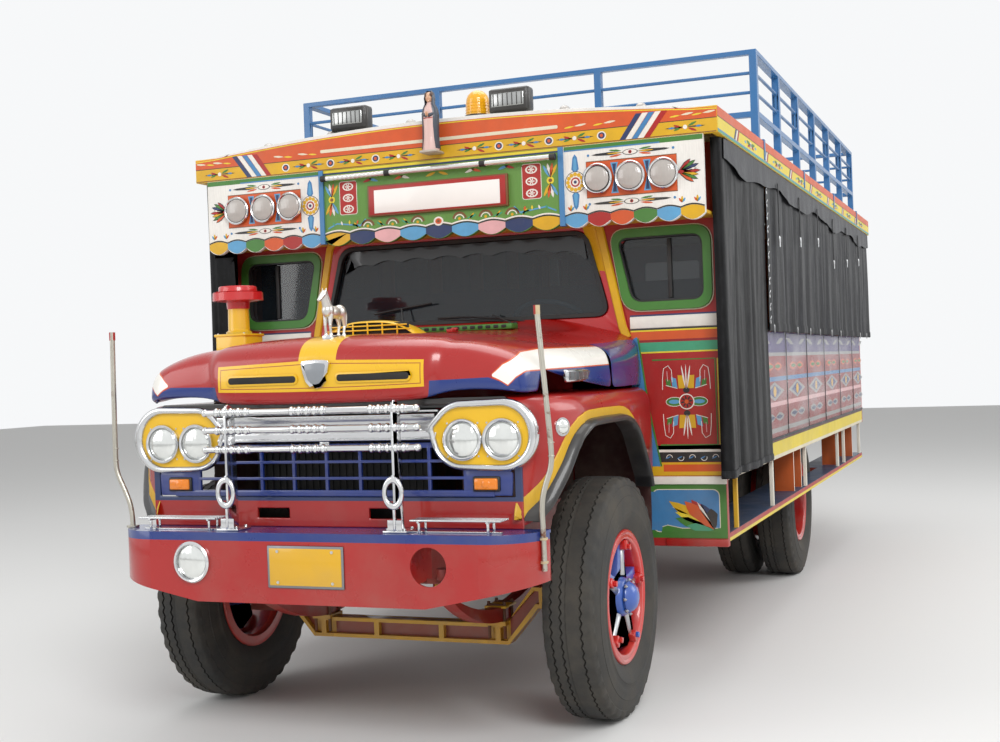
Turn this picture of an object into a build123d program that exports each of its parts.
import os
from math import cos, degrees, radians, sin, sqrt
from build123d import *

os.makedirs("parts", exist_ok=True)

# Frame: millimetres, +Z up, front towards -Y, the vehicle's left towards +X, ground at Z = 0,
# X = 0 on the centre plane. Sizes named *_Y are distances behind the front axle.

# Driving dimensions of the whole vehicle
WHEELBASE = 3910.0
FRONT_OVERHANG = 935.0
REAR_OVERHANG = 2420.0
FRONT_AXLE_Y = -(WHEELBASE + REAR_OVERHANG - FRONT_OVERHANG) / 2
FIT = 0.3
PANEL = 15.0

# Tyres and wheels
TYRE_R = 508.0
TYRE_W = 247.0
TREAD_W = 200.0
RIM_R = 254.0
RIM_FLANGE_R = 279.0
RIM_W = 200.0
RIM_T = 12.0
RIM_WELL_R = 236.0
FRONT_TYRE_X = 905.0
REAR_TYRE_X = 999.5
TWIN_PITCH = 290.0
HUB_R = 78.0
SPINDLE_R = 30.0
REAR_SPINDLE_R = 45.0
SPOKES = 5
SPOKE_W = 62.0
CLAMP_SIZE = 44.0

# Ladder frame and running gear
RAIL_OUT_X = 432.5
RAIL_BOTTOM = 660.0
RAIL_TOP = 860.0
RAIL_FLANGE = 75.0
RAIL_T = 8.0
RAIL_FRONT_Y = -700.0
BEAM_BOTTOM = 290.0
BEAM_H = 90.0
BEAM_DEPTH = 80.0
BEAM_FLAT_X = 480.0
BEAM_END_X = 620.0
KINGPIN_X = 720.0
KINGPIN_R = 16.0
BOSS_H = 120.0
EAR_H = 37.0
EAR_GAP = 3.0
SPRING_W = 60.0
SHAFT_Z = 560.0
AXLE_TUBE_R = 65.0

# Bonnet, wings and cowl
HOOD_EDGE_Z = 1390.0
HOOD_NOSE_Y = -780.0
HOOD_REAR_Y = 95.0
HOOD_SIDE_H = 115.0
HOOD_CORNER = 85.0
WING_TOP = 1384.0
WING_X = 985.0
WING_FRONT_X = 830.0
WING_FRONT_Y = -710.0
WING_REAR_Y = 675.0
WING_BOTTOM = 930.0
WING_CORNER = 80.0
INNER_WING_X = 560.0
COWL_FRONT_Y = 103.0
HINGE_Y = (HOOD_REAR_Y + COWL_FRONT_Y) / 2
HINGE_Z = 1668.0
HINGE_X = 190.0
HINGE_R = 11.0
HINGE_PIN_R = 5.0
HINGE_W = 26.0

# Body
WALL_Y = 700.0
WALL_T = 40.0
BODY_X = 1295.0
TAIL_EAVE = 290.0
BODY_REAR_Y = WHEELBASE + REAR_OVERHANG - TAIL_EAVE
SKIRT_BOTTOM = 930.0
FLOOR_TOP = 1100.0
FLOOR_T = 30.0
BOARD_T = 25.0
WAIST_Z = 1640.0
BODY_TOP = 2500.0
FIRST_POST_Y = 1640.0
LAST_BAY = 600.0
BAYS = 5
BAY = (BODY_REAR_Y - LAST_BAY - FIRST_POST_Y) / BAYS
POST = 60.0
STEP_TOP = 680.0
STEP_T = 40.0

# Roof, rack and front boards
ROOF_X = 1365.0
ROOF_FRONT_Y = 450.0
ROOF_REAR_Y = WHEELBASE + REAR_OVERHANG
ROOF_EDGE_Z = 2620.0
ROOF_CROWN = 75.0
ROOF_T = 20.0
BAND_T = 30.0
FASCIA_BOTTOM = 2150.0
FASCIA_T = 25.0
RACK_X = 1345.0
RACK_FRONT_Y = 1550.0
RACK_REAR_Y = BODY_REAR_Y - 520
RACK_TOP = 3100.0
RACK_TUBE = 40.0
rack_height = RACK_TOP - ROOF_EDGE_Z - ROOF_CROWN
RACK_LOW = RACK_TOP - 0.83 * rack_height
rack_rods = [RACK_TOP - 0.545 * rack_height, RACK_TOP - 0.295 * rack_height]
RACK_BAYS = 6

# Lamps
LAMP_LENS_R = 73.0

# Bumper
BUMPER_X = 930.0
BUMPER_FACE_Y = -920.0
BUMPER_BACK_Y = -705.0
BUMPER_BOTTOM = 603.0
BUMPER_TOP = 880.0
BUMPER_T = 12.0
BUMPER_CORNER = 210.0


def fore_aft(distance):
    """Y of a point that lies `distance` behind the front axle."""
    return FRONT_AXLE_Y + distance


def slab(x0, x1, y0, y1, z0, z1, mode=Mode.ADD):
    """Box between two corners, its Y values behind the front axle."""
    centre = ((x0 + x1) / 2, fore_aft((y0 + y1) / 2), (z0 + z1) / 2)
    with Locations(centre):
        Box(abs(x1 - x0), abs(y1 - y0), abs(z1 - z0), mode=mode)


def bar(start, end, radius, mode=Mode.ADD):
    """Round bar between two points, their Y values behind the front axle."""
    low = Vector(start[0], fore_aft(start[1]), start[2])
    high = Vector(end[0], fore_aft(end[1]), end[2])
    with BuildSketch(Plane(origin=low, z_dir=high - low)) as section:
        Circle(radius)
    extrude(section.sketch, amount=(high - low).length, mode=mode)


def facing(y):
    """Plane across the vehicle at y behind the front axle: X right, Y up, extruding rearwards."""
    return Plane(origin=(0, fore_aft(y), 0), x_dir=(-1, 0, 0), z_dir=(0, 1, 0))


def sideways(x):
    """Plane along the vehicle at x: sketch X is distance behind the front axle, Y is height."""
    return Plane(origin=(x, FRONT_AXLE_Y, 0), x_dir=(0, 1, 0), z_dir=(1, 0, 0))


def level(z):
    """Plane parallel to the ground: sketch Y is distance behind the front axle."""
    return Plane(origin=(0, FRONT_AXLE_Y, z), x_dir=(1, 0, 0), z_dir=(0, 0, 1))


def prism(points, plane, depth, mode=Mode.ADD):
    """Extruded polygon."""
    with BuildSketch(plane) as outline:
        with BuildLine():
            Polyline(*points, close=True)
        make_face()
    extrude(outline.sketch, amount=depth, mode=mode)


def mirrored(points):
    """Points of a right half outline followed by their mirror images."""
    return points + [(-x, z) for x, z in reversed(points)]


def save(piece, name):
    """Label a finished piece and write it."""
    piece.part.label = name
    export_step(piece.part, f"parts/{name}.step")


# Tyre section: bead, sidewall arc, shoulder and tread, turned about the X axis
def tyre_section(centre_x, axle_y, side):
    half = TYRE_W / 2
    tread = TREAD_W / 2
    bead = RIM_W / 2 - RIM_T - FIT
    axis = Axis((0, axle_y, TYRE_R), (1, 0, 0))
    plane = Plane(origin=(side * centre_x, axle_y, TYRE_R), x_dir=(1, 0, 0), z_dir=(0, -1, 0))
    with BuildSketch(plane) as section:
        with BuildLine():
            Polyline((-bead, RIM_R + FIT), (bead, RIM_R + FIT))
            Line((bead, RIM_R + FIT), (bead, RIM_FLANGE_R + 8))
            ThreePointArc((bead, RIM_FLANGE_R + 8), (half, 385), (tread + 4, TYRE_R - 22))
            Line((tread + 4, TYRE_R - 22), (tread - 12, TYRE_R - 3))
            ThreePointArc((tread - 12, TYRE_R - 3), (0, TYRE_R), (-tread + 12, TYRE_R - 3))
            Line((-tread + 12, TYRE_R - 3), (-tread - 4, TYRE_R - 22))
            ThreePointArc((-tread - 4, TYRE_R - 22), (-half, 385), (-bead, RIM_FLANGE_R + 8))
            Line((-bead, RIM_FLANGE_R + 8), (-bead, RIM_R + FIT))
        make_face()
    revolve(section.sketch, axis=axis)


# Rim section: bead seat, well and two flanges, turned about the X axis
def rim_section(centre_x, axle_y):
    half = RIM_W / 2
    seat = RIM_R
    axis = Axis((0, axle_y, TYRE_R), (1, 0, 0))
    plane = Plane(origin=(centre_x, axle_y, TYRE_R), x_dir=(1, 0, 0), z_dir=(0, -1, 0))
    with BuildSketch(plane) as section:
        with BuildLine():
            Polyline((-half, RIM_WELL_R), (half, RIM_WELL_R), (half, RIM_FLANGE_R),
                     (half - RIM_T, RIM_FLANGE_R), (half - RIM_T, seat), (RIM_T - half, seat),
                     (RIM_T - half, RIM_FLANGE_R), (-half, RIM_FLANGE_R), close=True)
        make_face()
    revolve(section.sketch, axis=axis)


def tube_x(x0, x1, axle_y, radius, mode=Mode.ADD):
    """Cylinder about an axle's line from x0 to x1."""
    with BuildSketch(Plane(origin=(min(x0, x1), axle_y, TYRE_R), z_dir=(1, 0, 0))) as section:
        Circle(radius)
    extrude(section.sketch, amount=abs(x1 - x0), mode=mode)


def spokes(x0, x1, axle_y, first_angle):
    """Five tapered spokes from the hub to the rim's well."""
    for number in range(SPOKES):
        angle = radians(first_angle + number * 360 / SPOKES)
        outward = (0, cos(angle), sin(angle))
        plane = Plane(origin=(min(x0, x1), axle_y, TYRE_R), x_dir=outward, z_dir=(1, 0, 0))
        with BuildSketch(plane) as spoke:
            with BuildLine():
                Polyline((HUB_R - 20, -SPOKE_W), (RIM_WELL_R + 2, -SPOKE_W / 2),
                         (RIM_WELL_R + 2, SPOKE_W / 2), (HUB_R - 20, SPOKE_W), close=True)
            make_face()
        extrude(spoke.sketch, amount=abs(x1 - x0))


def rim_clamps(x0, x1, axle_y, first_angle):
    """Clamp blocks between the spoke ends and the rim's inner face."""
    for number in range(SPOKES):
        angle = radians(first_angle + number * 360 / SPOKES)
        radius = RIM_WELL_R - CLAMP_SIZE / 2 + 1
        centre = ((x0 + x1) / 2, axle_y + radius * cos(angle), TYRE_R + radius * sin(angle))
        with Locations(Location(centre, (degrees(angle), 0, 0))):
            Box(abs(x1 - x0), CLAMP_SIZE, CLAMP_SIZE)


FRONT_Y = FRONT_AXLE_Y
REAR_Y = FRONT_AXLE_Y + WHEELBASE
SIDES = [("left", 1), ("right", -1)]
HUB_IN_X = KINGPIN_X + 100
HUB_OUT_X = FRONT_TYRE_X + TYRE_W / 2 - 15
CAP_OUT_X = HUB_OUT_X + 45
SPOKE_ANGLE = 12.0

for side_name, side in SIDES:
    rim_x = side * FRONT_TYRE_X

    with BuildPart() as tyre_front:
        tyre_section(FRONT_TYRE_X, FRONT_Y, side)
    save(tyre_front, f"tyre_front_{side_name}")

    with BuildPart() as wheel_front:
        rim_section(rim_x, FRONT_Y)
        tube_x(side * HUB_IN_X, side * HUB_OUT_X, FRONT_Y, HUB_R)
        spokes(side * (FRONT_TYRE_X - 15), side * (FRONT_TYRE_X + 35), FRONT_Y, SPOKE_ANGLE)
        rim_clamps(side * (FRONT_TYRE_X + 35), side * (HUB_OUT_X + 10), FRONT_Y, SPOKE_ANGLE)
        tube_x(side * HUB_OUT_X, side * CAP_OUT_X, FRONT_Y, HUB_R - 14)
        bore_end = side * (HUB_OUT_X - 20)
        tube_x(side * HUB_IN_X, bore_end, FRONT_Y, SPINDLE_R + FIT, mode=Mode.SUBTRACT)
    save(wheel_front, f"wheel_front_{side_name}")

    # Knuckle: two ears on the kingpin, the web outside them, the spindle and a steering arm
    ear_mid = TYRE_R - 8
    boss_low = ear_mid - BOSS_H / 2
    boss_high = ear_mid + BOSS_H / 2
    with BuildPart() as knuckle:
        web_in = side * (KINGPIN_X + 48)
        web_out = side * (HUB_IN_X - 8)
        ear_in = side * (KINGPIN_X - 34)
        low = boss_low - EAR_GAP - EAR_H
        high = boss_high + EAR_GAP + EAR_H
        slab(web_in, web_out, -45, 45, low, high)
        slab(ear_in, web_in, -45, 45, low, low + EAR_H)
        slab(ear_in, web_in, -45, 45, high - EAR_H, high)
        slab(side * (KINGPIN_X - 20), side * (KINGPIN_X + 20), 45, 190, low, low + 25)
        tube_x(web_out, side * (HUB_OUT_X - 25), FRONT_Y, SPINDLE_R)
        bar((side * KINGPIN_X, 0, low - 5), (side * KINGPIN_X, 0, high + 5), KINGPIN_R + FIT,
            mode=Mode.SUBTRACT)
    save(knuckle, f"knuckle_{side_name}")

    with BuildPart() as tyres_rear:
        tyre_section(REAR_TYRE_X, REAR_Y, side)
        tyre_section(REAR_TYRE_X - TWIN_PITCH, REAR_Y, side)
    save(tyres_rear, f"tyres_rear_{side_name}")

    twin_mid = REAR_TYRE_X - TWIN_PITCH / 2
    with BuildPart() as wheels_rear:
        rim_section(side * REAR_TYRE_X, REAR_Y)
        rim_section(side * (REAR_TYRE_X - TWIN_PITCH), REAR_Y)
        spacer = TWIN_PITCH - RIM_W + 2
        tube_x(side * (twin_mid - spacer / 2), side * (twin_mid + spacer / 2), REAR_Y, RIM_R - 2)
        tube_x(side * (twin_mid - spacer / 2), side * (twin_mid + spacer / 2), REAR_Y,
               RIM_WELL_R - 8, mode=Mode.SUBTRACT)
        tube_x(side * (twin_mid - 150), side * (REAR_TYRE_X - 10), REAR_Y, HUB_R + 25)
        spokes(side * (twin_mid - 20), side * (twin_mid + 40), REAR_Y, SPOKE_ANGLE)
        rim_clamps(side * (twin_mid + 40), side * (twin_mid + 100), REAR_Y, SPOKE_ANGLE)
        tube_x(side * (REAR_TYRE_X - 10), side * (REAR_TYRE_X + 45), REAR_Y, HUB_R - 5)
        tube_x(side * (twin_mid - 160), side * (REAR_TYRE_X + 10), REAR_Y,
               REAR_SPINDLE_R + FIT, mode=Mode.SUBTRACT)
    save(wheels_rear, f"wheels_rear_{side_name}")

# Front axle: dropped I-beam with a boss and kingpin at each end and spring pads
beam_top = BEAM_BOTTOM + BEAM_H
boss_mid = TYRE_R - 8
beam_half = [(BEAM_FLAT_X, BEAM_BOTTOM), (BEAM_END_X, boss_mid - 48), (KINGPIN_X, boss_mid - 48),
             (KINGPIN_X, boss_mid + 42), (BEAM_END_X - 25, boss_mid + 42), (BEAM_FLAT_X - 10, beam_top)]
PAD_X = 430.0
PAD_TOP = beam_top + 12
with BuildPart() as front_axle:
    prism(mirrored(beam_half), facing(-BEAM_DEPTH / 2), BEAM_DEPTH)
    web_half = [(BEAM_FLAT_X - 6, BEAM_BOTTOM + 16), (BEAM_END_X - 12, boss_mid - 30),
                (BEAM_END_X + 5, boss_mid - 30), (BEAM_END_X + 5, boss_mid + 26),
                (BEAM_END_X - 18, boss_mid + 26), (BEAM_FLAT_X - 30, beam_top - 16)]
    prism(mirrored(web_half), facing(-BEAM_DEPTH / 2), BEAM_DEPTH / 2 - 12, mode=Mode.SUBTRACT)
    prism(mirrored(web_half), facing(12), BEAM_DEPTH / 2 - 12, mode=Mode.SUBTRACT)
    for side in (1, -1):
        bar((side * KINGPIN_X, 0, boss_mid - BOSS_H / 2), (side * KINGPIN_X, 0, boss_mid + BOSS_H / 2), 42)
        bar((side * KINGPIN_X, 0, boss_mid - BOSS_H / 2 - 42),
            (side * KINGPIN_X, 0, boss_mid + BOSS_H / 2 + 42), KINGPIN_R)
        slab(side * (PAD_X - 45), side * (PAD_X + 45), -60, 60, beam_top - 6, PAD_TOP)
        slab(side * (PAD_X - 12), side * (PAD_X + 12), -BEAM_DEPTH / 2, BEAM_DEPTH / 2,
             BEAM_BOTTOM, beam_top)
        slab(side * 148, side * 172, -BEAM_DEPTH / 2, BEAM_DEPTH / 2, BEAM_BOTTOM, beam_top)
save(front_axle, "front_axle")

# Rear axle: tubes, final drive case with its nose, spindles
NOSE_Y = WHEELBASE - 330
REAR_SPRING_X = 500.0
with BuildPart() as rear_axle:
    tube_x(-(REAR_TYRE_X - TWIN_PITCH / 2 - 155), REAR_TYRE_X - TWIN_PITCH / 2 - 155, REAR_Y, AXLE_TUBE_R)
    tube_x(-(REAR_TYRE_X + 5), REAR_TYRE_X + 5, REAR_Y, REAR_SPINDLE_R)
    with Locations((0, REAR_Y, TYRE_R)):
        Sphere(175)
    bar((0, NOSE_Y, SHAFT_Z), (0, WHEELBASE - 100, SHAFT_Z), 72)
    for side in (1, -1):
        slab(side * (REAR_SPRING_X - 45), side * (REAR_SPRING_X + 45), WHEELBASE - 70,
             WHEELBASE + 70, TYRE_R + 20, TYRE_R + AXLE_TUBE_R + 12)
save(rear_axle, "rear_axle")

# Leaf springs: (spring's x, middle y, half span, top of its seat, eye height, foot of its hangers)
springs = [
    (PAD_X, 0.0, 600.0, PAD_TOP, 600.0, "rail"),
    (REAR_SPRING_X, WHEELBASE, 660.0, TYRE_R + AXLE_TUBE_R + 12, 730.0, "side"),
]
EYE_R = 26.0
LEAF_STACK = 62.0
with BuildPart() as leaf_springs:
    for spring_x, mid_y, span, seat, eye_z, fixing in springs:
        for side in (1, -1):
            x_in = side * spring_x - SPRING_W / 2
            with BuildSketch(sideways(x_in)) as leaf:
                with BuildLine():
                    ThreePointArc((mid_y - span, eye_z - 12), (mid_y, seat), (mid_y + span, eye_z - 12))
                    Line((mid_y + span, eye_z - 12), (mid_y + span, eye_z))
                    ThreePointArc((mid_y + span, eye_z), (mid_y, seat + LEAF_STACK), (mid_y - span, eye_z))
                    Line((mid_y - span, eye_z), (mid_y - span, eye_z - 12))
                make_face()
            extrude(leaf.sketch, amount=SPRING_W)
            for end in (-1, 1):
                eye_y = mid_y + end * (span + 10)
                bar((x_in, eye_y, eye_z), (x_in + SPRING_W, eye_y, eye_z), EYE_R)
                if fixing == "rail":
                    slab(x_in, x_in + SPRING_W, eye_y - 18, eye_y + 18, eye_z, RAIL_BOTTOM)
                else:
                    outer = side * (spring_x + SPRING_W / 2)
                    slab(side * RAIL_OUT_X, outer, eye_y - 18, eye_y + 18, eye_z, eye_z + 60)
save(leaf_springs, "leaf_springs")

# Ladder frame: two channels and cross members
# Cross members: (y, half width along the vehicle, bottom, top)
RAIL_REAR_Y = BODY_REAR_Y - 40
cross_members = [(-645, 45, 700, 820), (640, 40, 700, 820), (1900, 40, 700, 820),
                 (WHEELBASE - 810, 40, 700, 820), (WHEELBASE + 790, 40, 700, 820),
                 (RAIL_REAR_Y - 40, 40, 700, 820)]
with BuildPart() as chassis_frame:
    for side in (1, -1):
        slab(side * (RAIL_OUT_X - RAIL_T), side * RAIL_OUT_X, RAIL_FRONT_Y, RAIL_REAR_Y,
             RAIL_BOTTOM, RAIL_TOP)
        for low in (RAIL_BOTTOM, RAIL_TOP - RAIL_T):
            slab(side * (RAIL_OUT_X - RAIL_FLANGE), side * RAIL_OUT_X, RAIL_FRONT_Y, RAIL_REAR_Y,
                 low, low + RAIL_T)
    web_x = RAIL_OUT_X - RAIL_T
    for member_y, half, low, high in cross_members:
        slab(-web_x, web_x, member_y - half, member_y + half, low, high)
save(chassis_frame, "chassis_frame")

# Engine and gearbox as plain blocks on mounts that meet the rails, with the propeller shaft
ENGINE_FRONT_Y = -360.0
ENGINE_REAR_Y = 520.0
GEARBOX_REAR_Y = 1080.0
with BuildPart() as engine:
    slab(-300, 300, ENGINE_FRONT_Y, ENGINE_REAR_Y, 720, 1290)
    slab(-150, 150, ENGINE_REAR_Y, 595, 600, 900)
    slab(-150, 150, 595, GEARBOX_REAR_Y, 480, 695)
    for side in (1, -1):
        slab(side * 300, side * (RAIL_OUT_X - RAIL_T), 60, 160, 740, 800)
    bar((0, GEARBOX_REAR_Y, SHAFT_Z), (0, NOSE_Y, SHAFT_Z), 42)
    bar((0, GEARBOX_REAR_Y, SHAFT_Z), (0, GEARBOX_REAR_Y + 110, SHAFT_Z), 68)
    bar((0, NOSE_Y - 110, SHAFT_Z), (0, NOSE_Y, SHAFT_Z), 68)
save(engine, "engine_and_drive")

# Exhaust: head pipe, silencer on two hangers, tail pipe to the right side
EXHAUST_Z = 600.0
EXHAUST_X = -610.0
TAIL_PIPE_Y = WHEELBASE - 860
with BuildPart() as exhaust:
    route = [(-250, 300, 719), (-250, 300, EXHAUST_Z), (-250, 830, EXHAUST_Z),
             (EXHAUST_X, 830, EXHAUST_Z), (EXHAUST_X, TAIL_PIPE_Y, EXHAUST_Z), (-1010, TAIL_PIPE_Y, EXHAUST_Z)]
    points = [(x, fore_aft(y), z) for x, y, z in route]
    with BuildLine() as path:
        FilletPolyline(*points, radius=55)
    with BuildSketch(Plane(origin=path.line @ 0, z_dir=path.line % 0)) as pipe:
        Circle(27)
    sweep(pipe.sketch, path=path.line)
    bar((EXHAUST_X, 1400, EXHAUST_Z), (EXHAUST_X, 2200, EXHAUST_Z), 88)
    for hanger_y in (1500, 2100):
        slab(EXHAUST_X, -RAIL_OUT_X, hanger_y - 12, hanger_y + 12, EXHAUST_Z + 70, EXHAUST_Z + 110)
save(exhaust, "exhaust")

# Bumper: face bent round at both ends, blue deck on top, two brackets to the rails
def bumper_plan(inset):
    half = BUMPER_X - inset
    front = BUMPER_FACE_Y + inset
    radius = BUMPER_CORNER - inset
    with BuildLine() as edge:
        Polyline((half, BUMPER_BACK_Y), (half, front + radius))
        RadiusArc((half, front + radius), (half - radius, front), radius)
        Line((half - radius, front), (radius - half, front))
        RadiusArc((radius - half, front), (-half, front + radius), radius)
        Polyline((-half, front + radius), (-half, BUMPER_BACK_Y), (half, BUMPER_BACK_Y))
    make_face(edge.edges())


BUMPER_LAMP_X = 518.0
BUMPER_LAMP_Z = 760.0
BUMPER_FLAT_X = 500.0
BUMPER_RISE = 88.0
with BuildPart() as bumper:
    with BuildSketch(level(BUMPER_BOTTOM)) as outside:
        bumper_plan(0)
    extrude(outside.sketch, amount=BUMPER_TOP - BUMPER_BOTTOM)
    with BuildSketch(level(BUMPER_BOTTOM)) as inside:
        bumper_plan(BUMPER_T)
    extrude(inside.sketch, amount=BUMPER_TOP - BUMPER_BOTTOM - BUMPER_T, mode=Mode.SUBTRACT)
    slab(-BUMPER_X, BUMPER_X, BUMPER_BACK_Y - BUMPER_T, BUMPER_BACK_Y + 1, BUMPER_BOTTOM,
         BUMPER_TOP - BUMPER_T, mode=Mode.SUBTRACT)
    for side in (1, -1):
        rise = [(side * BUMPER_FLAT_X, BUMPER_BOTTOM), (side * (BUMPER_X + 1), BUMPER_BOTTOM + BUMPER_RISE),
                (side * (BUMPER_X + 1), BUMPER_BOTTOM - 1), (side * BUMPER_FLAT_X, BUMPER_BOTTOM - 1)]
        prism([(-x, z) for x, z in rise], facing(BUMPER_FACE_Y - 1), 400, mode=Mode.SUBTRACT)
        bar((side * BUMPER_LAMP_X, BUMPER_FACE_Y - 1, BUMPER_LAMP_Z),
            (side * BUMPER_LAMP_X, BUMPER_FACE_Y + BUMPER_T + 1, BUMPER_LAMP_Z), LAMP_LENS_R + 1,
            mode=Mode.SUBTRACT)
        slab(side * (RAIL_OUT_X - RAIL_T), side * RAIL_OUT_X, BUMPER_FACE_Y + BUMPER_T,
             RAIL_FRONT_Y, RAIL_BOTTOM + 20, BUMPER_TOP - BUMPER_T)
save(bumper, "bumper")

# Bumper guard: two uprights on base plates, three bars, two slatted steps
GUARD_X = 370.0
GUARD_Y = -880.0
guard_bars = [1351.0, 1280.0, 1203.0]
with BuildPart() as bumper_guard:
    for side in (1, -1):
        slab(side * (GUARD_X - 5), side * (GUARD_X + 5), GUARD_Y, GUARD_Y + 70, BUMPER_TOP, 1383)
        slab(side * (GUARD_X - 50), side * (GUARD_X + 50), GUARD_Y - 10, GUARD_Y + 90, BUMPER_TOP,
             BUMPER_TOP + 10)
        slab(side * (GUARD_X + 50), side * (GUARD_X + 420), GUARD_Y + 25, GUARD_Y + 45, BUMPER_TOP,
             BUMPER_TOP + 10)
        for leg in (90, 370):
            slab(side * (GUARD_X + leg), side * (GUARD_X + leg + 12), GUARD_Y + 29, GUARD_Y + 41,
                 BUMPER_TOP, BUMPER_TOP + 45)
        slab(side * (GUARD_X + 60), side * (GUARD_X + 430), GUARD_Y - 5, GUARD_Y + 75,
             BUMPER_TOP + 45, BUMPER_TOP + 52)
    for bar_z in guard_bars:
        bar((-GUARD_X - 100, GUARD_Y + 12, bar_z), (GUARD_X + 100, GUARD_Y + 12, bar_z), 14)
    # Guide poles, the left one tied to the bumper's end, the right one on its deck: (x, y, z) from
    # the foot to the tip
    POLE_R = 11.0
    POLE_X = BUMPER_X - 1
    pole_from_bend = BUMPER_CORNER + POLE_R + FIT
    across = POLE_X - (BUMPER_X - BUMPER_CORNER)
    pole_y = BUMPER_FACE_Y + BUMPER_CORNER - sqrt(pole_from_bend**2 - across**2)
    left_pole = [(POLE_X, pole_y, 735), (POLE_X, pole_y, 880), (POLE_X - 4, pole_y, 985),
                 (POLE_X + 42, pole_y + 8, 1130), (POLE_X + 2, pole_y + 8, 1720)]
    RIGHT_POLE_Y = BUMPER_FACE_Y + 120
    right_pole = [(-POLE_X + 40, RIGHT_POLE_Y, BUMPER_TOP), (-POLE_X + 40, RIGHT_POLE_Y, 955),
                  (-POLE_X - 37, RIGHT_POLE_Y, 1120), (-POLE_X - 31, RIGHT_POLE_Y, 1700)]
    for pole_route in (left_pole, right_pole):
        points = [(x, fore_aft(y), z) for x, y, z in pole_route]
        with BuildLine() as path:
            FilletPolyline(*points, radius=60)
        with BuildSketch(Plane(origin=path.line @ 0, z_dir=path.line % 0)) as rod:
            Circle(POLE_R)
        sweep(rod.sketch, path=path.line)
save(bumper_guard, "bumper_guard")

# Bonnet sections: (y, half width, crown height above the edge)
hood_sections = [(HOOD_NOSE_Y, 800.0, 150.0), (-640.0, 840.0, 245.0), (-300.0, 915.0, 262.0),
                 (HOOD_REAR_Y, 945.0, 270.0)]


def hood_outline(half, crown, base_z, inset):
    """Half-round-shouldered section: sides, corner arcs and a crowned top."""
    half = half - inset
    side_z = base_z + min(HOOD_SIDE_H, crown * 0.55)
    shoulder = HOOD_CORNER
    top_side = side_z + shoulder * 0.75 - inset
    top = base_z + crown - inset
    with BuildLine() as edge:
        Line((half, base_z), (half, side_z))
        ThreePointArc((half, side_z), (half - shoulder * 0.25, side_z + shoulder * 0.55 - inset * 0.6),
                      (half - shoulder, top_side))
        ThreePointArc((half - shoulder, top_side), (0, top), (shoulder - half, top_side))
        ThreePointArc((shoulder - half, top_side),
                      (shoulder * 0.25 - half, side_z + shoulder * 0.55 - inset * 0.6), (-half, side_z))
        Line((-half, side_z), (-half, base_z))
        Line((-half, base_z), (half, base_z))
    make_face(edge.edges())


with BuildPart() as hood_block:
    for section_y, half, crown in hood_sections:
        with BuildSketch(facing(section_y)):
            hood_outline(half, crown, HOOD_EDGE_Z, 0)
    loft(ruled=True)
hood_seat = hood_block.part.moved(Location((0, 0, FIT)))

with BuildPart() as hood:
    add(hood_block.part)
    with BuildPart(mode=Mode.PRIVATE) as hood_inside:
        for number, (section_y, half, crown) in enumerate(hood_sections):
            depth_y = section_y + (PANEL if number == 0 else 0) + (1 if number == 3 else 0)
            with BuildSketch(facing(depth_y)):
                hood_outline(half, crown, HOOD_EDGE_Z - 1, PANEL)
        loft(ruled=True)
    add(hood_inside.part, mode=Mode.SUBTRACT)
    for side in (1, -1):
        ear_x = side * (HINGE_X + HINGE_W / 2 + FIT)
        ear_end = side * (HINGE_X + HINGE_W * 1.5)
        bar((ear_x, HINGE_Y, HINGE_Z), (ear_end, HINGE_Y, HINGE_Z), HINGE_R)
        bar((side * (HINGE_X - HINGE_W / 2), HINGE_Y, HINGE_Z), (ear_end, HINGE_Y, HINGE_Z), HINGE_PIN_R)
        slab(ear_x, ear_end, HINGE_Y - 50, HINGE_Y, HINGE_Z - 5, HINGE_Z + 2)
        slab(ear_x, ear_end, HINGE_Y - 50, HINGE_Y - 18, HINGE_Z - 22, HINGE_Z + 2)
save(hood, "hood")

# Hood ornament: a small standing horse on the crest of the nose
ORNAMENT_Y = -620.0
crest_z = HOOD_EDGE_Z + 246.0
with BuildPart() as hood_ornament:
    slab(-22, 22, ORNAMENT_Y - 75, ORNAMENT_Y + 65, crest_z - 20, crest_z + 12)
    for leg_x, leg_y in [(14, -52), (-14, -52), (14, 48), (-14, 48)]:
        bar((leg_x, ORNAMENT_Y + leg_y, crest_z + 12), (leg_x * 0.8, ORNAMENT_Y + leg_y, crest_z + 92), 8)
    bar((0, ORNAMENT_Y - 62, crest_z + 104), (0, ORNAMENT_Y + 60, crest_z + 104), 26)
    bar((0, ORNAMENT_Y - 50, crest_z + 112), (0, ORNAMENT_Y - 84, crest_z + 176), 17)
    bar((0, ORNAMENT_Y - 78, crest_z + 178), (0, ORNAMENT_Y - 118, crest_z + 158), 13)
    bar((0, ORNAMENT_Y + 56, crest_z + 112), (0, ORNAMENT_Y + 84, crest_z + 50), 8)
    add(hood_seat, mode=Mode.SUBTRACT)
save(hood_ornament, "hood_ornament")

# Air intake on the bonnet's right rear: base box, pipe, neck and a two-tier cap
INTAKE_X = -815.0
INTAKE_Y = -55.0
INTAKE_BOX = 82.0
INTAKE_TOP = 1692.0
INTAKE_PIPE_R = 48.0
# Cap tiers: (foot, head, radius)
intake_cap = [(1845, 1888, 117), (1888, 1915, 89)]
with BuildPart() as air_intake:
    slab(INTAKE_X - INTAKE_BOX, INTAKE_X + INTAKE_BOX, INTAKE_Y - INTAKE_BOX, INTAKE_Y + INTAKE_BOX, 1500,
         INTAKE_TOP)
    bar((INTAKE_X, INTAKE_Y, INTAKE_TOP), (INTAKE_X, INTAKE_Y, intake_cap[0][0]), INTAKE_PIPE_R)
    for foot, head, radius in intake_cap:
        bar((INTAKE_X, INTAKE_Y, foot), (INTAKE_X, INTAKE_Y, head), radius)
    add(hood_seat, mode=Mode.SUBTRACT)
save(air_intake, "air_intake")

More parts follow.
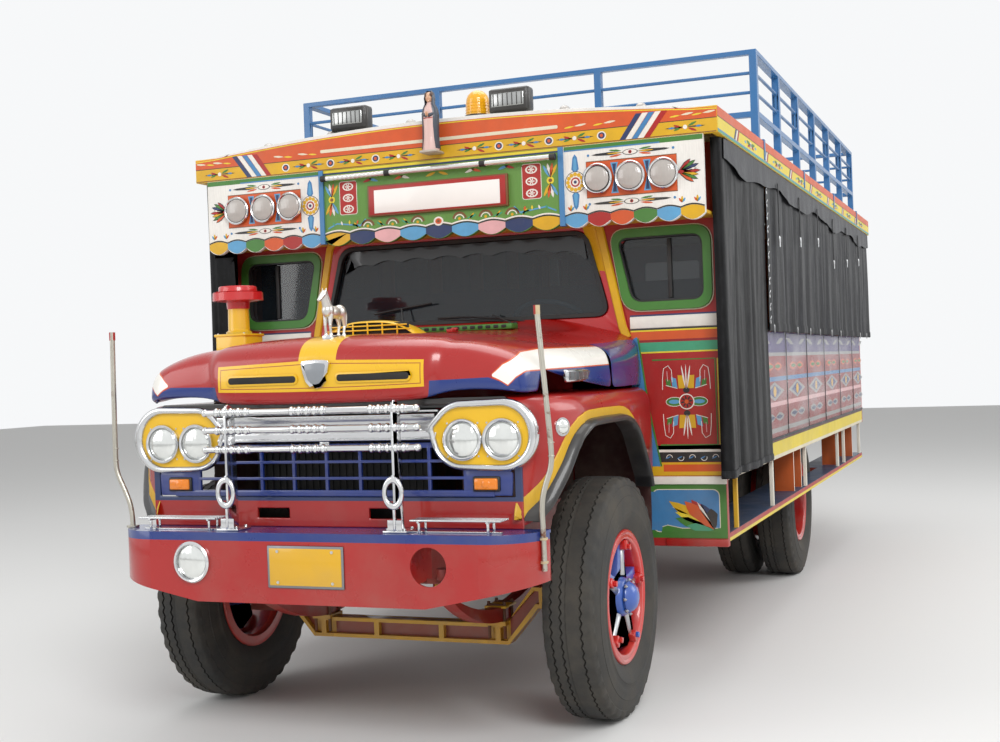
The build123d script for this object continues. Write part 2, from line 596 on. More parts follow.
# Wings: shell over each front wheel, open below, with the wheel arch cut through its side
# Wing sections: (y, half width)
wing_sections = [(WING_FRONT_Y, WING_FRONT_X), (WING_FRONT_Y + 40, WING_FRONT_X + 60),
                 (WING_FRONT_Y + 120, WING_FRONT_X + 110), (-450.0, WING_X), (250.0, WING_X),
                 (WING_REAR_Y, 950.0)]
last_section = len(wing_sections) - 1
arch_top = 1250.0
# Flare round the arch: inner and outer x, width along the wing's side
FLARE_IN_X = WING_FRONT_X - 20
FLARE_OUT_X = 1022.0
FLARE_W = 30.0
FLARE_FOOT = 25.0
ARCH_FOOT_Y = WING_FRONT_Y + FLARE_FOOT + 1
# Plan outside which the flare is cut back round the wing's front corner: (x, y)
flare_corner = [(WING_FRONT_X + 65, WING_FRONT_Y - 30), (WING_FRONT_X + 120, WING_FRONT_Y + 50),
                (FLARE_OUT_X, WING_FRONT_Y + 170), (FLARE_OUT_X + 10, WING_FRONT_Y + 170),
                (FLARE_OUT_X + 10, WING_FRONT_Y - 30)]


def wing_outline(side, half, inset, low):
    """Section of a wing: inner wall, top with a rounded outer corner, side."""
    inner = side * (INNER_WING_X + inset)
    outer = side * (half - inset)
    corner = side * (half - WING_CORNER)
    radius = WING_CORNER - inset
    top = WING_TOP - inset
    turn = side * radius * sin(radians(45))
    with BuildLine() as edge:
        Polyline((-inner, top), (-inner, low), (-outer, low), (-outer, top - radius))
        ThreePointArc((-outer, top - radius), (-corner - turn, top - radius + abs(turn)), (-corner, top))
        Line((-corner, top), (-inner, top))
    make_face(edge.edges())


for side_name, side in SIDES:
    with BuildPart() as wing:
        for section_y, half in wing_sections:
            with BuildSketch(facing(section_y)):
                wing_outline(side, half, 0, WING_BOTTOM)
        loft(ruled=True)
        with BuildPart(mode=Mode.PRIVATE) as wing_inside:
            for number, (section_y, half) in enumerate(wing_sections):
                depth_y = section_y + (-1 if number == 0 else 0) - (PANEL if number == last_section else 0)
                with BuildSketch(facing(depth_y)):
                    wing_outline(side, half, PANEL, WING_BOTTOM - 1)
            loft(ruled=True)
        add(wing_inside.part, mode=Mode.SUBTRACT)
        with BuildSketch(sideways(side * WING_X - 150)) as arch:
            with BuildLine():
                Polyline((560, WING_BOTTOM - 10), (ARCH_FOOT_Y, WING_BOTTOM - 10), (ARCH_FOOT_Y, WING_BOTTOM),
                         (-515, 1190))
                ThreePointArc((-515, 1190), (-455, 1233), (-380, arch_top))
                Line((-380, arch_top), (60, arch_top))
                ThreePointArc((60, arch_top), (175, 1227), (270, 1165))
                Polyline((270, 1165), (480, 970), (560, WING_BOTTOM - 10))
            make_face()
        extrude(arch.sketch, amount=300, mode=Mode.SUBTRACT)
        with BuildPart(mode=Mode.PRIVATE) as arch_flare:
            with BuildSketch(sideways(side * FLARE_IN_X if side == 1 else side * FLARE_OUT_X)) as flare:
                with BuildLine():
                    Polyline((ARCH_FOOT_Y, WING_BOTTOM), (-515, 1190))
                    ThreePointArc((-515, 1190), (-455, 1233), (-380, arch_top))
                    Line((-380, arch_top), (60, arch_top))
                    ThreePointArc((60, arch_top), (175, 1227), (270, 1165))
                    Polyline((270, 1165), (480, 970), (495, WING_BOTTOM), (520, WING_BOTTOM), (515, 985),
                             (310, 1190))
                    ThreePointArc((310, 1190), (190, 1262), (60, arch_top + FLARE_W))
                    Line((60, arch_top + FLARE_W), (-380, arch_top + FLARE_W))
                    ThreePointArc((-380, arch_top + FLARE_W), (-480, 1268), (-548, 1210))
                    Polyline((-548, 1210), (ARCH_FOOT_Y - FLARE_FOOT, WING_BOTTOM), (ARCH_FOOT_Y, WING_BOTTOM))
                make_face()
            extrude(flare.sketch, amount=FLARE_OUT_X - FLARE_IN_X)
            prism([(side * x, y) for x, y in flare_corner], level(WING_BOTTOM - 10), 400, mode=Mode.SUBTRACT)
            add(wing_inside.part, mode=Mode.SUBTRACT)
        add(arch_flare.part)
        inner_out = side * (INNER_WING_X + PANEL)
        slab(side * INNER_WING_X, inner_out, RAIL_FRONT_Y + 10, WING_REAR_Y, RAIL_TOP, WING_BOTTOM)
        slab(side * (RAIL_OUT_X - RAIL_FLANGE), inner_out, RAIL_FRONT_Y + 10, WING_REAR_Y, RAIL_TOP,
             RAIL_TOP + PANEL)
        slab(side * INNER_WING_X, side * 940, WING_REAR_Y - PANEL, WING_REAR_Y, 620, WING_BOTTOM)
    save(wing, f"wing_{side_name}")

# Front panel behind the grille, with the grille's opening
GRILLE_X = 800.0
GRILLE_LOW = 1002.0
GRILLE_HIGH = 1215.0
PANEL_FRONT_Y = WING_FRONT_Y - 15
with BuildPart() as front_panel:
    panel_half = [(WING_FRONT_X, BUMPER_TOP + FIT), (WING_FRONT_X, WING_TOP - 60), (WING_FRONT_X - 60, WING_TOP)]
    prism(mirrored(panel_half), facing(PANEL_FRONT_Y), 15)
    slab(-GRILLE_X, GRILLE_X, PANEL_FRONT_Y, WING_FRONT_Y, GRILLE_LOW, 1345, mode=Mode.SUBTRACT)
    for side in (1, -1):
        slab(side * 180, side * 330, PANEL_FRONT_Y, WING_FRONT_Y, 915, 955, mode=Mode.SUBTRACT)
save(front_panel, "front_panel")

# Lower grille: a frame with rows and columns of cells
CELL_ROWS = 3
CELL_COLUMNS = 8
GRILLE_CELLS_X = 600.0
with BuildPart() as lower_grille:
    slab(-GRILLE_X + 1, GRILLE_X - 1, PANEL_FRONT_Y - 5, WING_FRONT_Y, GRILLE_LOW, GRILLE_HIGH)
    pitch_x = 2 * GRILLE_CELLS_X / CELL_COLUMNS
    pitch_z = (GRILLE_HIGH - GRILLE_LOW - 14) / CELL_ROWS
    for row in range(CELL_ROWS):
        for column in range(CELL_COLUMNS):
            cell_x = -GRILLE_CELLS_X + pitch_x * (column + 0.5)
            cell_z = GRILLE_LOW + 7 + pitch_z * (row + 0.5)
            slab(cell_x - pitch_x / 2 + 7, cell_x + pitch_x / 2 - 7, PANEL_FRONT_Y - 6,
                 WING_FRONT_Y + 1, cell_z - pitch_z / 2 + 6, cell_z + pitch_z / 2 - 6, mode=Mode.SUBTRACT)
save(lower_grille, "lower_grille")

# Grille housing: two lamp pods joined by a band of bars
HEADLAMP_X = [600.0, 764.0]
HEADLAMP_Z = 1222.0
HEADLAMP_R = 79.0
HOUSING_T = 25.0
HOUSING_FRONT_Y = PANEL_FRONT_Y - 5 - HOUSING_T


def pod(side, inset):
    """Egg-shaped pod outline about its two lamps, pointed towards the centre."""
    circles = [(769, HEADLAMP_Z + 17, 137 - inset), (600, HEADLAMP_Z + 17, 133 - inset),
               (485, HEADLAMP_Z + 42, 30 - inset * 0.5)]
    with BuildSketch(mode=Mode.PRIVATE) as egg:
        for x, z, radius in circles:
            with Locations((-side * x, z)):
                Circle(radius)
        make_hull()
    add(egg.sketch)


with BuildPart() as grille_housing:
    with BuildSketch(facing(HOUSING_FRONT_Y)) as front:
        for side in (1, -1):
            pod(side, 0)
        with Locations((0, 1274)):
            Rectangle(980, 104)
        for side in (1, -1):
            for lamp_x in HEADLAMP_X:
                with Locations((side * lamp_x, HEADLAMP_Z)):
                    Circle(HEADLAMP_R + FIT, mode=Mode.SUBTRACT)
        with Locations((0, 1274)):
            Rectangle(860, 22, mode=Mode.SUBTRACT)
    extrude(front.sketch, amount=HOUSING_T)
    with BuildSketch(facing(HOUSING_FRONT_Y)) as recess:
        for side in (1, -1):
            pod(side, 26)
    extrude(recess.sketch, amount=8, mode=Mode.SUBTRACT)
    for side in (1, -1):
        slab(side * (GRILLE_X + 2), side * (WING_FRONT_X - 2), HOUSING_FRONT_Y + HOUSING_T, PANEL_FRONT_Y,
             HEADLAMP_Z - 40, HEADLAMP_Z + 60)
save(grille_housing, "grille_housing")


LENS_BULGE = 0.22


def round_lamp(x, back_y, z, radius, depth):
    """Round lamp: cylindrical body with a domed lens towards the front."""
    bar((x, back_y - depth, z), (x, back_y, z), radius)
    dome_r = radius * 0.86
    bulge = radius * LENS_BULGE
    sphere_r = (dome_r**2 + bulge**2) / (2 * bulge)
    with BuildSketch(sideways(x)) as lens:
        with BuildLine():
            Polyline((back_y - depth, z), (back_y - depth, z + dome_r))
            RadiusArc((back_y - depth, z + dome_r), (back_y - depth - bulge, z), -sphere_r)
            Line((back_y - depth - bulge, z), (back_y - depth, z))
        make_face()
    revolve(lens.sketch, axis=Axis((x, fore_aft(back_y), z), (0, 1, 0)))


# Round lamps: four in the grille, one in the bumper (its right fellow is missing), six on the
# fascia and four at the rear
FASCIA_LAMP_X = [808.0, 962.0, 1116.0]
FASCIA_LAMP_Z = 2338.0
FASCIA_LAMP_R = 70.0
TAIL_LAMP_R = 62.0
with BuildPart() as round_lamps:
    for side in (1, -1):
        for lamp_x in HEADLAMP_X:
            round_lamp(side * lamp_x, HOUSING_FRONT_Y + HOUSING_T, HEADLAMP_Z, HEADLAMP_R, HOUSING_T - 2)
        for lamp_x in FASCIA_LAMP_X:
            round_lamp(side * lamp_x, ROOF_FRONT_Y, FASCIA_LAMP_Z, FASCIA_LAMP_R, 22)
        for lamp_z in (1180, 1340):
            bar((side * 1190, BODY_REAR_Y, lamp_z), (side * 1190, BODY_REAR_Y + 30, lamp_z), TAIL_LAMP_R)
    lamp_back_y = -FRONT_OVERHANG + LAMP_LENS_R * LENS_BULGE + 62
    round_lamp(-BUMPER_LAMP_X, lamp_back_y, BUMPER_LAMP_Z, LAMP_LENS_R, 62)
    bar((-BUMPER_LAMP_X, BUMPER_FACE_Y + BUMPER_T + FIT, BUMPER_LAMP_Z),
        (-BUMPER_LAMP_X, BUMPER_FACE_Y + BUMPER_T + 6, BUMPER_LAMP_Z), LAMP_LENS_R + 9)
save(round_lamps, "round_lamps")

# Cab front: cowl over the wings' rear, windscreen frame and dashboard
# Cowl sections: (y, half width, crown height above the wings)
cowl_base = WING_TOP + FIT
cowl_sections = [(COWL_FRONT_Y, 945.0, 276.0), (WALL_Y, 905.0, 312.0)]
FRAME_LOW_X = 862.0
FRAME_HIGH_X = 738.0
SCREEN_LOW_X = 770.0
SCREEN_HIGH_X = 665.0
SCREEN_LOW_Z = 1718.0
SCREEN_HIGH_Z = 2135.0
SCREEN_CORNER = 75.0
frame_half = [(FRAME_LOW_X, SKIRT_BOTTOM), (FRAME_LOW_X, 1620), (FRAME_HIGH_X, FASCIA_BOTTOM),
              (FRAME_HIGH_X, BODY_TOP)]
screen_half = [(SCREEN_LOW_X, SCREEN_LOW_Z), (SCREEN_HIGH_X, SCREEN_HIGH_Z)]


def screen_outline(gap):
    """Windscreen outline, smaller by the gap all round."""
    half = [(SCREEN_LOW_X - gap, SCREEN_LOW_Z + gap), (SCREEN_HIGH_X - gap, SCREEN_HIGH_Z - gap)]
    with BuildLine() as edge:
        Polyline(*mirrored(half), close=True)
    face = make_face(edge.edges())
    fillet(face.vertices(), SCREEN_CORNER - gap)


with BuildPart() as cab_front:
    for section_y, half, crown in cowl_sections:
        with BuildSketch(facing(section_y)):
            hood_outline(half, crown, cowl_base, 0)
    loft(ruled=True)
    with BuildPart(mode=Mode.PRIVATE) as cowl_inside:
        for section_y, half, crown in [(COWL_FRONT_Y + PANEL, 945.0, 276.0), (WALL_Y + 1, 905.0, 312.0)]:
            with BuildSketch(facing(section_y)):
                hood_outline(half, crown, cowl_base - 1, PANEL)
        loft(ruled=True)
    add(cowl_inside.part, mode=Mode.SUBTRACT)
    prism(mirrored(frame_half), facing(WALL_Y), WALL_T)
    with BuildSketch(facing(WALL_Y)) as screen:
        screen_outline(0)
    extrude(screen.sketch, amount=WALL_T, mode=Mode.SUBTRACT)
    for side in (1, -1):
        knuckle_in = side * (HINGE_X - HINGE_W / 2)
        knuckle_out = side * (HINGE_X + HINGE_W / 2)
        bar((knuckle_in, HINGE_Y, HINGE_Z), (knuckle_out, HINGE_Y, HINGE_Z), HINGE_R)
        slab(knuckle_in, knuckle_out, HINGE_Y, HINGE_Y + 50, HINGE_Z - 5, HINGE_Z + 2)
        slab(knuckle_in, knuckle_out, HINGE_Y + 18, HINGE_Y + 50, HINGE_Z - 22, HINGE_Z + 2)
        bar((knuckle_in - side, HINGE_Y, HINGE_Z), (knuckle_out + side, HINGE_Y, HINGE_Z), HINGE_PIN_R + FIT,
            mode=Mode.SUBTRACT)
    slab(-780, 780, WALL_Y + WALL_T, WALL_Y + WALL_T + 180, 1480, 1680)
save(cab_front, "cab_front")

# Front wall: painted boards each side of the cab with a framed window, and the skirt below
WINDOW_IN_LOW_X = 876.0
WINDOW_IN_HIGH_X = 812.0
WINDOW_OUT_X = 1225.0
WINDOW_LOW = 1775.0
WINDOW_HIGH = 2085.0
WINDOW_FRAME = 36.0
WINDOW_CORNER = 55.0
SKIRT_FOOT = 625.0


def window_outline(side, grow):
    """Rounded window outline with a slanted inner edge, larger by grow all round."""
    corners = [(WINDOW_IN_LOW_X - grow, WINDOW_LOW - grow), (WINDOW_OUT_X + grow, WINDOW_LOW - grow),
               (WINDOW_OUT_X + grow, WINDOW_HIGH + grow), (WINDOW_IN_HIGH_X - grow, WINDOW_HIGH + grow)]
    with BuildLine() as edge:
        Polyline(*[(-side * x, z) for x, z in corners], close=True)
    face = make_face(edge.edges())
    fillet(face.vertices(), WINDOW_CORNER + grow)


with BuildPart() as front_wall:
    for side in (1, -1):
        wall_half = [(FRAME_LOW_X, SKIRT_BOTTOM), (700, SKIRT_BOTTOM), (700, SKIRT_FOOT),
                     (BODY_X, SKIRT_FOOT), (BODY_X, BODY_TOP), (FRAME_HIGH_X, BODY_TOP),
                     (FRAME_HIGH_X, FASCIA_BOTTOM), (FRAME_LOW_X, 1620)]
        prism([(-side * x, z) for x, z in wall_half], facing(WALL_Y), WALL_T)
        with BuildSketch(facing(WALL_Y - 8)) as window_frame:
            window_outline(side, WINDOW_FRAME)
        extrude(window_frame.sketch, amount=10)
        with BuildSketch(facing(WALL_Y - 9)) as window_hole:
            window_outline(side, 0)
        extrude(window_hole.sketch, amount=WALL_T + 10, mode=Mode.SUBTRACT)
save(front_wall, "front_wall")

GLASS_T = 6.0
glass_y = WALL_Y + WALL_T / 2
with BuildPart() as window_glass:
    with BuildSketch(facing(glass_y)) as screen_glass:
        screen_outline(FIT)
    extrude(screen_glass.sketch, amount=GLASS_T)
    for side in (1, -1):
        with BuildSketch(facing(glass_y)) as side_glass:
            window_outline(side, -FIT)
        extrude(side_glass.sketch, amount=GLASS_T)
save(window_glass, "window_glass")

# Steering wheel on its column, on the vehicle's left
STEERING_X = 360.0
STEERING_R = 205.0
wheel_at = (STEERING_X, 1040.0, 1690.0)
column_foot = (STEERING_X, 940.0, 1560.0)
column_dir = Vector(0, wheel_at[1] - column_foot[1], wheel_at[2] - column_foot[2]).normalized()
wheel_plane = Plane(origin=(wheel_at[0], fore_aft(wheel_at[1]), wheel_at[2]), x_dir=(1, 0, 0), z_dir=column_dir)
with BuildPart() as steering_wheel:
    with Locations(wheel_plane):
        Torus(STEERING_R, 13)
    for spoke in range(3):
        angle = radians(90 + 120 * spoke)
        with BuildSketch(Plane(origin=wheel_plane.origin, x_dir=column_dir,
                               z_dir=wheel_plane.x_dir * cos(angle) + wheel_plane.y_dir * sin(angle))) as rod:
            Circle(8)
        extrude(rod.sketch, amount=STEERING_R - 2)
    with BuildSketch(Plane(origin=wheel_plane.origin + column_dir * 3, z_dir=column_dir * -1)) as column:
        Circle(26)
    extrude(column.sketch, amount=161)
    slab(STEERING_X - 40, STEERING_X + 40, WALL_Y + WALL_T + 180, 975, 1525, 1600)
save(steering_wheel, "steering_wheel")

# Floor on its bearers
# Cross bearers: distance behind the front axle, clear of the rear tyres
bearers = [WALL_Y + 160, FIRST_POST_Y, FIRST_POST_Y + BAY, WHEELBASE - 750, WHEELBASE + 770,
           BODY_REAR_Y - LAST_BAY, BODY_REAR_Y - 140]
BEARER_TOP = FLOOR_TOP - FLOOR_T
BEARER_H = 100.0
with BuildPart() as floor:
    slab(-BODY_X + BOARD_T, BODY_X - BOARD_T, WALL_Y + WALL_T, BODY_REAR_Y - WALL_T, BEARER_TOP, FLOOR_TOP)
    for side in (1, -1):
        slab(side * (RAIL_OUT_X - RAIL_FLANGE), side * RAIL_OUT_X, WALL_Y + WALL_T, RAIL_REAR_Y - 20,
             RAIL_TOP, BEARER_TOP)
    for bearer_y in bearers:
        slab(-BODY_X + BOARD_T, BODY_X - BOARD_T, bearer_y - 30, bearer_y + 30,
             BEARER_TOP - BEARER_H, BEARER_TOP)
save(floor, "floor")

# Body sides: skirt rail, posts and top rail; boards to the waist on the left, open bays on the right
post_ys = [FIRST_POST_Y + BAY * number for number in range(BAYS + 1)]
side_rear_y = BODY_REAR_Y - WALL_T
side_front_y = WALL_Y + WALL_T
corner_posts = [side_front_y + POST / 2, side_rear_y - POST / 2]
for side_name, side in SIDES:
    skirt_top = WAIST_Z if side == 1 else FLOOR_TOP
    with BuildPart() as body_side:
        slab(side * (BODY_X - BOARD_T), side * BODY_X, side_front_y, side_rear_y, SKIRT_BOTTOM, skirt_top)
        for post_y in post_ys + corner_posts:
            slab(side * (BODY_X - BOARD_T - POST), side * (BODY_X - BOARD_T), post_y - POST / 2,
                 post_y + POST / 2, FLOOR_TOP, BODY_TOP)
            slab(side * (BODY_X - BOARD_T), side * BODY_X, post_y - POST / 2, post_y + POST / 2,
                 FLOOR_TOP, BODY_TOP)
        slab(side * (BODY_X - BOARD_T - POST), side * BODY_X, side_front_y, side_rear_y,
             BODY_TOP - 60, BODY_TOP)
    save(body_side, f"body_side_{side_name}")

# Rear wall with two windows and an iron ladder to the roof
REAR_WINDOW_LOW = 1980.0
REAR_WINDOW_HIGH = 2360.0
LADDER_X = 900.0
LADDER_STANDOFF = 130.0
with BuildPart() as rear_wall:
    slab(-BODY_X, BODY_X, BODY_REAR_Y - WALL_T, BODY_REAR_Y, SKIRT_BOTTOM, BODY_TOP)
    for side in (1, -1):
        slab(side * 30, side * 520, BODY_REAR_Y - WALL_T, BODY_REAR_Y, REAR_WINDOW_LOW,
             REAR_WINDOW_HIGH, mode=Mode.SUBTRACT)
    ladder_y = BODY_REAR_Y + LADDER_STANDOFF
    for rail_x in (LADDER_X - 180, LADDER_X + 180):
        bar((rail_x, ladder_y, 760), (rail_x, ladder_y, BODY_TOP - 1), 14)
        for hold_z in (1000, 1700, 2400):
            bar((rail_x, BODY_REAR_Y, hold_z), (rail_x, ladder_y, hold_z), 10)
    for rung in range(6):
        rung_z = 820 + rung * 300
        bar((LADDER_X - 180, ladder_y, rung_z), (LADDER_X + 180, ladder_y, rung_z), 11)
save(rear_wall, "rear_wall")

# Benches: seat board, backrest and two leg boards
BENCH_HALF = BODY_X - BOARD_T - POST - 5
SEAT_Z = 1480.0
BENCH_BACK_Z = 1930.0
FIRST_BENCH_Y = FIRST_POST_Y + POST / 2 - 425
with BuildPart() as benches:
    for number in range(BAYS + 1):
        bench_y = FIRST_BENCH_Y + BAY * number
        slab(-BENCH_HALF, BENCH_HALF, bench_y, bench_y + 380, SEAT_Z - 45, SEAT_Z)
        slab(-BENCH_HALF, BENCH_HALF, bench_y + 340, bench_y + 380, FLOOR_TOP, BENCH_BACK_Z)
        for side in (1, -1):
            slab(side * (BENCH_HALF - 30), side * BENCH_HALF, bench_y, bench_y + 380, FLOOR_TOP, SEAT_Z - 45)
save(benches, "benches")

# Running boards hung below the skirt on posts, wider away from the rear tyres, and a rear step
STEP_OUT_X = BODY_X - 10
STEP_CLEAR_X = 1145.0
STEP_IN_X = 1010.0
STEP_POST = 22.0
# Step posts: distance behind the front axle
step_posts = [WALL_Y + 290, WALL_Y + 1250, WHEELBASE - 810, WHEELBASE + 690, WHEELBASE + 1040, BODY_REAR_Y - 140]
# Dividers under the body: distance behind the front axle
step_dividers = [WHEELBASE - 1160, WHEELBASE - 890, WHEELBASE + 810, WHEELBASE + 1650]
with BuildPart() as running_boards:
    for side in (1, -1):
        slab(side * STEP_CLEAR_X, side * STEP_OUT_X, side_front_y, side_rear_y, STEP_TOP - STEP_T, STEP_TOP)
        slab(side * STEP_IN_X, side * STEP_CLEAR_X, side_front_y, WHEELBASE - 560,
             STEP_TOP - STEP_T, STEP_TOP)
        slab(side * STEP_IN_X, side * STEP_CLEAR_X, WHEELBASE + 560, side_rear_y,
             STEP_TOP - STEP_T, STEP_TOP)
        for post_y in step_posts:
            slab(side * (STEP_OUT_X - STEP_POST), side * STEP_OUT_X, post_y - STEP_POST / 2,
                 post_y + STEP_POST / 2, STEP_TOP, SKIRT_BOTTOM)
        for divider_y in step_dividers:
            slab(side * STEP_CLEAR_X, side * (STEP_OUT_X - STEP_POST), divider_y, divider_y + 18,
                 STEP_TOP, BEARER_TOP - BEARER_H - 5)
save(running_boards, "running_boards")

# Roof: crowned sheet, edge bands all round and bows across the posts
ROOF_FLAT_X = ROOF_X - 60


def roof_arch(drop):
    """Crowned sheet outline between the flat edges, lowered by drop."""
    low = ROOF_EDGE_Z - drop
    with BuildLine() as edge:
        Polyline((ROOF_X, low), (ROOF_FLAT_X, low))
        ThreePointArc((ROOF_FLAT_X, low), (0, low + ROOF_CROWN), (-ROOF_FLAT_X, low))
        Polyline((-ROOF_FLAT_X, low), (-ROOF_X, low), (-ROOF_X, low - ROOF_T))
        Polyline((-ROOF_X, low - ROOF_T), (-ROOF_FLAT_X, low - ROOF_T))
        ThreePointArc((-ROOF_FLAT_X, low - ROOF_T), (0, low + ROOF_CROWN - ROOF_T), (ROOF_FLAT_X, low - ROOF_T))
        Polyline((ROOF_FLAT_X, low - ROOF_T), (ROOF_X, low - ROOF_T), (ROOF_X, low))
    make_face(edge.edges())


BOW_H = 60.0
with BuildPart() as roof:
    with BuildSketch(facing(ROOF_FRONT_Y)) as sheet:
        roof_arch(0)
    extrude(sheet.sketch, amount=ROOF_REAR_Y - ROOF_FRONT_Y)
    for side in (1, -1):
        slab(side * (ROOF_X - BAND_T), side * ROOF_X, ROOF_FRONT_Y, ROOF_REAR_Y, BODY_TOP, ROOF_EDGE_Z - 1)
    for band_y in (ROOF_FRONT_Y, ROOF_REAR_Y - BAND_T):
        slab(-ROOF_X, ROOF_X, band_y, band_y + BAND_T, BODY_TOP, ROOF_EDGE_Z - 1)
        prism([(-ROOF_FLAT_X, ROOF_EDGE_Z - 10), (0, ROOF_EDGE_Z + ROOF_CROWN - 14),
               (ROOF_FLAT_X, ROOF_EDGE_Z - 10)], facing(band_y), BAND_T)
    for bow_y in post_ys + corner_posts:
        slab(-ROOF_X + 1, ROOF_X - 1, bow_y - 25, bow_y + 25, BODY_TOP, BODY_TOP + BOW_H)
        slab(-25, 25, bow_y - 25, bow_y + 25, BODY_TOP + BOW_H, ROOF_EDGE_Z + ROOF_CROWN - ROOF_T)
save(roof, "roof")

# Fascia: sign board and two lamp boards with scalloped lower edges, and the soffit
# Boards: (inner x, outer x, number of scallops)
FASCIA_SPLIT_X = 630.0
FASCIA_OUT_X = 1298.0
SCALLOP = 28.0
boards = [(-FASCIA_OUT_X, -FASCIA_SPLIT_X - 12, 6), (-FASCIA_SPLIT_X + 12, FASCIA_SPLIT_X - 12, 9),
          (FASCIA_SPLIT_X + 12, FASCIA_OUT_X, 6)]
with BuildPart() as fascia:
    for board_start, board_end, scallops in boards:
        pitch = (board_end - board_start) / scallops
        with BuildSketch(facing(ROOF_FRONT_Y)) as board:
            with BuildLine():
                Polyline((board_end, FASCIA_BOTTOM), (board_end, BODY_TOP), (board_start, BODY_TOP),
                         (board_start, FASCIA_BOTTOM))
                for number in range(scallops):
                    left = board_start + pitch * number
                    ThreePointArc((left, FASCIA_BOTTOM), (left + pitch / 2, FASCIA_BOTTOM - SCALLOP),
                                  (left + pitch, FASCIA_BOTTOM))
            make_face()
        extrude(board.sketch, amount=FASCIA_T)
    for side in (1, -1):
        slab(side * (FASCIA_SPLIT_X - 12), side * (FASCIA_SPLIT_X + 12), ROOF_FRONT_Y - 10,
             ROOF_FRONT_Y + FASCIA_T, FASCIA_BOTTOM - 15, BODY_TOP)
    slab(-FASCIA_OUT_X, FASCIA_OUT_X, ROOF_FRONT_Y + FASCIA_T, WALL_Y, FASCIA_BOTTOM, FASCIA_BOTTOM + 15)
save(fascia, "fascia")

# Statue in a robe on a bracket at the middle of the fascia
STATUE_Z = 2522.0
STATUE_Y = ROOF_FRONT_Y - 55
with BuildPart() as statue:
    slab(-45, 45, STATUE_Y - 45, ROOF_FRONT_Y, STATUE_Z, STATUE_Z + 14)
    with BuildSketch(sideways(0)) as robe:
        with BuildLine():
            Polyline((STATUE_Y, STATUE_Z + 14), (STATUE_Y - 42, STATUE_Z + 14), (STATUE_Y - 36, STATUE_Z + 120),
                     (STATUE_Y - 40, STATUE_Z + 190), (STATUE_Y - 16, STATUE_Z + 236),
                     (STATUE_Y, STATUE_Z + 240), close=True)
        make_face()
    revolve(robe.sketch, axis=Axis((0, fore_aft(STATUE_Y), 0), (0, 0, 1)))
    with Locations((0, fore_aft(STATUE_Y), STATUE_Z + 265)):
        Sphere(30)
    for side in (1, -1):
        bar((side * 34, STATUE_Y, STATUE_Z + 196), (side * 8, STATUE_Y - 46, STATUE_Z + 176), 12)
save(statue, "statue")

# Roof lamps: two driving lamps, five clearance lamps and a beacon
clearance_lamps = [-990.0, -620.0, -180.0, 620.0, 990.0]
ROOF_LAMP_Y = 560.0
LAMP_BOX_Z = 2705.0
roof_radius = (ROOF_FLAT_X**2 + ROOF_CROWN**2) / (2 * ROOF_CROWN)


def roof_height(x):
    """Height of the roof sheet's top at x."""
    return ROOF_EDGE_Z + ROOF_CROWN - roof_radius + sqrt(roof_radius**2 - x**2)


with BuildPart() as roof_lamps:
    for box_x in (-510.0, 350.0):
        slab(box_x - 105, box_x + 105, ROOF_LAMP_Y - 45, ROOF_LAMP_Y + 45, LAMP_BOX_Z, LAMP_BOX_Z + 120)
        slab(box_x - 20, box_x + 20, ROOF_LAMP_Y - 20, ROOF_LAMP_Y + 20, roof_height(abs(box_x) - 20) + FIT,
             LAMP_BOX_Z)
    for lamp_x in clearance_lamps:
        foot = roof_height(abs(lamp_x) - 30) + FIT
        slab(lamp_x - 26, lamp_x + 26, ROOF_LAMP_Y - 40, ROOF_LAMP_Y + 70, foot, foot + 34)
    bar((155, ROOF_LAMP_Y + 60, roof_height(85) + FIT), (155, ROOF_LAMP_Y + 60, 2790), 66)
    with Locations((155, fore_aft(ROOF_LAMP_Y + 60), 2790)):
        Sphere(60)
save(roof_lamps, "roof_lamps")

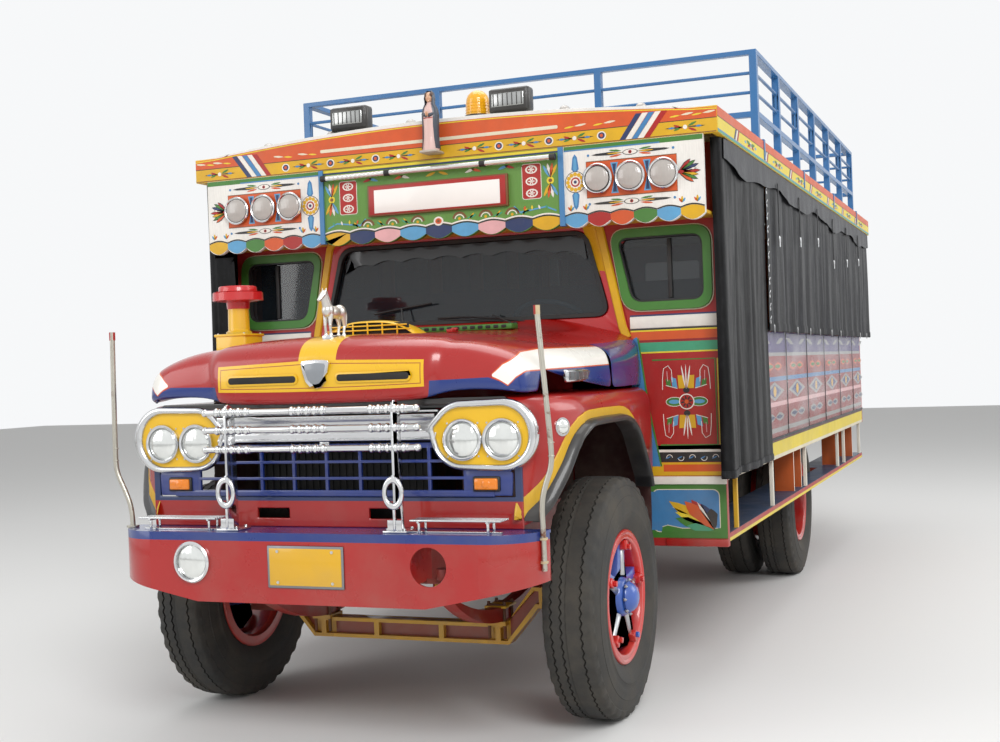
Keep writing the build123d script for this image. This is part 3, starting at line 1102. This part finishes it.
# Roof rack: posts, top rail of flat plate, mid rods, low rail and straps down to the roof's sides
rack_pitch = (RACK_REAR_Y - RACK_FRONT_Y) / RACK_BAYS
rack_ys = [RACK_FRONT_Y + RACK_TUBE / 2 + (rack_pitch - RACK_TUBE / RACK_BAYS) * n for n in range(RACK_BAYS + 1)]
RAIL_H = 26.0
rack_in = RACK_X - RACK_TUBE
with BuildPart() as roof_rack:
    for side in (1, -1):
        for post_y in rack_ys:
            slab(side * rack_in, side * RACK_X, post_y - RACK_TUBE / 2, post_y + RACK_TUBE / 2,
                 ROOF_EDGE_Z, RACK_TOP)
        slab(side * (rack_in - 10), side * RACK_X, RACK_FRONT_Y, RACK_REAR_Y, RACK_TOP - RAIL_H, RACK_TOP)
        slab(side * rack_in, side * RACK_X, RACK_FRONT_Y, RACK_REAR_Y, RACK_LOW - 15, RACK_LOW + 15)
        for rod_z in rack_rods:
            bar((side * (RACK_X - 20), RACK_FRONT_Y + 1, rod_z), (side * (RACK_X - 20), RACK_REAR_Y - 1, rod_z), 9)
        for strap_y in (rack_ys[0], rack_ys[2], rack_ys[4], rack_ys[6]):
            slab(side * RACK_X, side * ROOF_X, strap_y - 15, strap_y + 15, ROOF_EDGE_Z, ROOF_EDGE_Z + 8)
            slab(side * ROOF_X, side * (ROOF_X + 6), strap_y - 15, strap_y + 15, BODY_TOP + 20,
                 ROOF_EDGE_Z + 8)
    for end_y in (RACK_FRONT_Y, RACK_REAR_Y - RACK_TUBE):
        slab(-RACK_X, RACK_X, end_y, end_y + RACK_TUBE, RACK_TOP - RAIL_H, RACK_TOP)
        slab(-RACK_X, RACK_X, end_y, end_y + RACK_TUBE, RACK_LOW - 15, RACK_LOW + 15)
        for post_x in (-480, 480):
            slab(post_x - RACK_TUBE / 2, post_x + RACK_TUBE / 2, end_y, end_y + RACK_TUBE,
                 roof_height(460) + FIT, RACK_TOP)
        for rod_z in rack_rods:
            bar((-RACK_X + 1, end_y + 20, rod_z), (RACK_X - 1, end_y + 20, rod_z), 9)
save(roof_rack, "roof_rack")

# Tarpaulins hung from the roof's bands: full length at the front corner, half length behind it
TARP_X = ROOF_X - 24
TARP_T = 14.0
TARP_SPLIT_Y = 1640.0
TARP_REAR_Y = ROOF_REAR_Y - 40
TARP_LOW = 950.0
TARP_HALF_LOW = 1630.0
# Front edge of each full-length tarpaulin and how far its return reaches inwards: (y, x)
tarp_front = {"left": (560.0, BODY_X + 10), "right": (500.0, BODY_X - 105)}
for side_name, side in SIDES:
    front_y, return_x = tarp_front[side_name]
    with BuildPart() as tarp:
        slab(side * TARP_X, side * (TARP_X + TARP_T), front_y, TARP_SPLIT_Y, TARP_LOW, BODY_TOP)
        slab(side * return_x, side * (TARP_X + TARP_T), front_y, front_y + TARP_T, TARP_LOW,
             FASCIA_BOTTOM - SCALLOP - 5)
        slab(side * TARP_X, side * (TARP_X + TARP_T), TARP_SPLIT_Y + 20, TARP_REAR_Y,
             TARP_HALF_LOW, BODY_TOP)
    save(tarp, f"tarp_{side_name}")

# Clear curtain of six strips over the left side's painted boards
CURTAIN_T = 5.0
with BuildPart() as clear_curtain:
    slab(BODY_X, BODY_X + CURTAIN_T, TARP_SPLIT_Y, side_rear_y, SKIRT_BOTTOM + 105, WAIST_Z + 20)
    for seam_y in post_ys[1:]:
        slab(BODY_X + CURTAIN_T - 1, BODY_X + CURTAIN_T + 2, seam_y - 8, seam_y + 8,
             SKIRT_BOTTOM + 105, WAIST_Z + 20)
save(clear_curtain, "clear_curtain")
